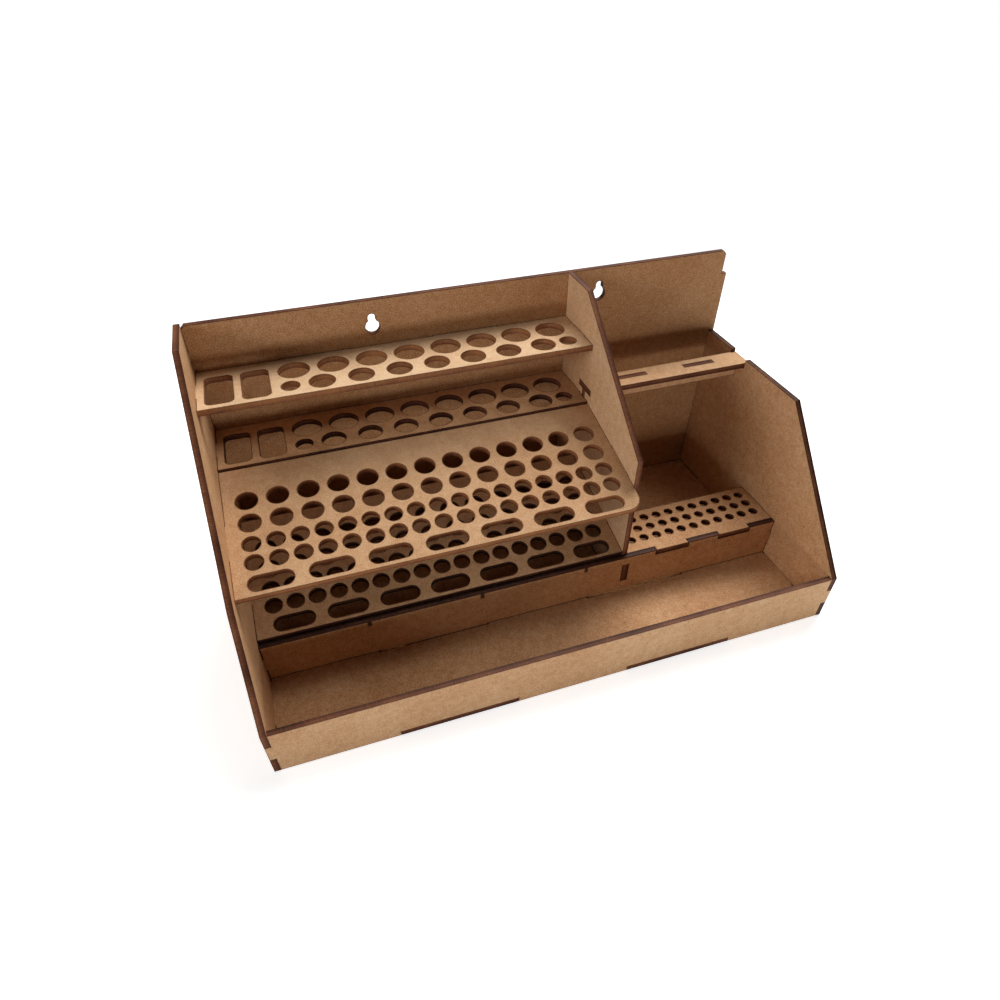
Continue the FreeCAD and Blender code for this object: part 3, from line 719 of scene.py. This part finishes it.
def dried_glue():
    """Wood glue that has set brownish and slightly glossy."""
    paint = Paint("dried_glue")
    here = paint.node("ShaderNodeTexCoord")["Object"]
    cloud = paint.noise(here, *GLUE_CLOUDS)
    fleck = paint.noise(here, *GLUE_FLECKS)
    colour = paint.mix(cloud, GLUE_DEEP, GLUE_PALE)
    colour = paint.mix(paint.ramp(fleck, *GLUE_SPECKS), colour, GLUE_SPECK)
    rough = GLUE_ROUGH + cloud * GLUE_CLOUD_ROUGH
    return paint.finish(colour, rough, cloud + fleck * GLUE_FLECK_RELIEF, GLUE_RELIEF)


def glue():
    """The beads along the foot of the riser."""
    jig, paste = glue_jig(), dried_glue()
    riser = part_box("riser")[0]
    y = riser.y - GLUE_OUT
    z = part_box("floor_plate")[1].z + GLUE_UP
    for seed, (name, start, end) in enumerate(GLUE_RUNS):
        bead = new_piece(name)
        use(bead, jig, Start=(riser.x + start, y, z), End=(riser.x + end, y, z), Radius=GLUE_RADIUS,
            Wander=GLUE_WANDER, Seed=float(seed), Material=paste)
        made(bead).shade_smooth()
        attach(bead, "root")
        frame["record"]["materials"][0]["slot"]


# ---- floor, light and camera -------------------------------------------------------------

WHITE = (1.0, 1.0, 1.0, 1.0)
FLOOR_HALF = 0.9
FLOOR_NEAR, FLOOR_FAR = 0.26, 0.62  # the floor fades to the white backdrop between these radii
FLOOR_GLOW = 0.70                   # the white that the camera sees added to the floor near the object
FLOOR_PALE, FLOOR_PALER = (0.78, 0.78, 0.78), (0.82, 0.82, 0.82)
FLOOR_GRAIN = (60.0, 3.0, 0.5)
ROOM = 0.05                         # the world's light on the object

# Each lamp's place, what it aims at, its width, height, power and colour.
LAMPS = {
    "window_box": ((0.50, 0.66, 1.22), (0.0, 0.0, 0.05), 1.1, 0.8, 27.0, (1.0, 0.985, 0.96)),
    "left_box": ((-1.3, -0.3, 0.5), (0.0, 0.0, 0.05), 0.9, 0.25, 7.5, (1.0, 1.0, 1.0)),
    "front_box": ((0.02, -0.42, 0.03), (0.0, -0.08, 0.02), 0.9, 0.05, 0.85, (1.0, 1.0, 1.0)),
}

EYE_PLACE = (-0.10056, -0.25742, 0.29136)
EYE_TURN = (46.4501, 0.1638, -18.4791)          # in degrees
SENSOR, LENS = 36.0, 24.377                     # in millimetres
SHIFT_X, SHIFT_Y = 0.00249, 0.04577
NEAREST, FARTHEST = 0.01, 50.0


def studio_floor():
    mesh = bpy.data.meshes.new("studio_floor")
    corners = [(x * FLOOR_HALF, y * FLOOR_HALF, 0) for x, y in ((-1, -1), (1, -1), (1, 1), (-1, 1))]
    mesh.from_pydata(corners, [], [(0, 1, 2, 3)])
    floor = new_piece("studio_floor", mesh)
    paint = Paint("pale_floor")
    rays = paint.node("ShaderNodeLightPath")
    place = paint.node("ShaderNodeTexCoord")["Object"]
    away = paint.node("ShaderNodeVectorMath", {"operation": "LENGTH"}, _0=place)["Value"]
    fade = paint.ramp(away, (FLOOR_NEAR, 0.0), (FLOOR_FAR, 1.0), smooth=True)
    pale = paint.mix(paint.noise(place, *FLOOR_GRAIN), FLOOR_PALE, FLOOR_PALER)
    matt = paint.node("ShaderNodeBsdfDiffuse", {}, Color=pale)
    glow = paint.node("ShaderNodeEmission", {}, Color=WHITE, Strength=FLOOR_GLOW)
    white = paint.node("ShaderNodeEmission", {}, Color=WHITE, Strength=1.0)
    lit = paint.node("ShaderNodeAddShader", {}, _0=matt["BSDF"], _1=glow["Emission"])
    lit = paint.node("ShaderNodeMixShader", {}, _0=fade, _1=lit["Shader"], _2=white["Emission"])
    seen = paint.node("ShaderNodeMixShader", {}, _0=rays["Is Camera Ray"], _1=matt["BSDF"], _2=lit["Shader"])
    paint.node("ShaderNodeOutputMaterial", {}, Surface=seen["Shader"])
    floor.data.materials.append(paint.material)


def backdrop():
    """A world that lights the object faintly and that the camera sees as white."""
    world = bpy.data.worlds.new("studio")
    bpy.context.scene.world = world
    world.use_nodes = True
    sky = Tree(world.node_tree)
    rays = sky.node("ShaderNodeLightPath")
    room = sky.node("ShaderNodeBackground", {}, Color=WHITE, Strength=ROOM)
    white = sky.node("ShaderNodeBackground", {}, Color=WHITE, Strength=1.0)
    seen = sky.node("ShaderNodeMixShader", {}, _0=rays["Is Camera Ray"], _1=room["Background"],
                    _2=white["Background"])
    sky.node("ShaderNodeOutputWorld", {}, Surface=seen["Shader"])


def lamps():
    for name, (place, aim, width, height, power, colour) in LAMPS.items():
        light = bpy.data.lights.new(name, "AREA")
        light.shape = "RECTANGLE"
        light.size = width
        light.size_y = height
        light.energy = power
        light.color = colour
        lamp = bpy.data.objects.new(name, light)
        bpy.context.scene.collection.objects.link(lamp)
        lamp.location = place
        lamp.rotation_euler = (Vector(aim) - Vector(place)).to_track_quat("-Z", "Y").to_euler()
        lamp.visible_camera = False


def camera():
    view = bpy.data.cameras.new("camera")
    view.sensor_width = SENSOR
    view.lens = LENS
    view.shift_x = SHIFT_X
    view.shift_y = SHIFT_Y
    view.clip_start = NEAREST
    view.clip_end = FARTHEST
    eye = bpy.data.objects.new("camera", view)
    bpy.context.scene.collection.objects.link(eye)
    eye.location = EYE_PLACE
    eye.rotation_euler = [math.radians(angle) for angle in EYE_TURN]
    bpy.context.scene.camera = eye


camera()
organizer()
glue()
studio_floor()
backdrop()
lamps()
bpy.context.scene.view_settings.view_transform = "Standard"
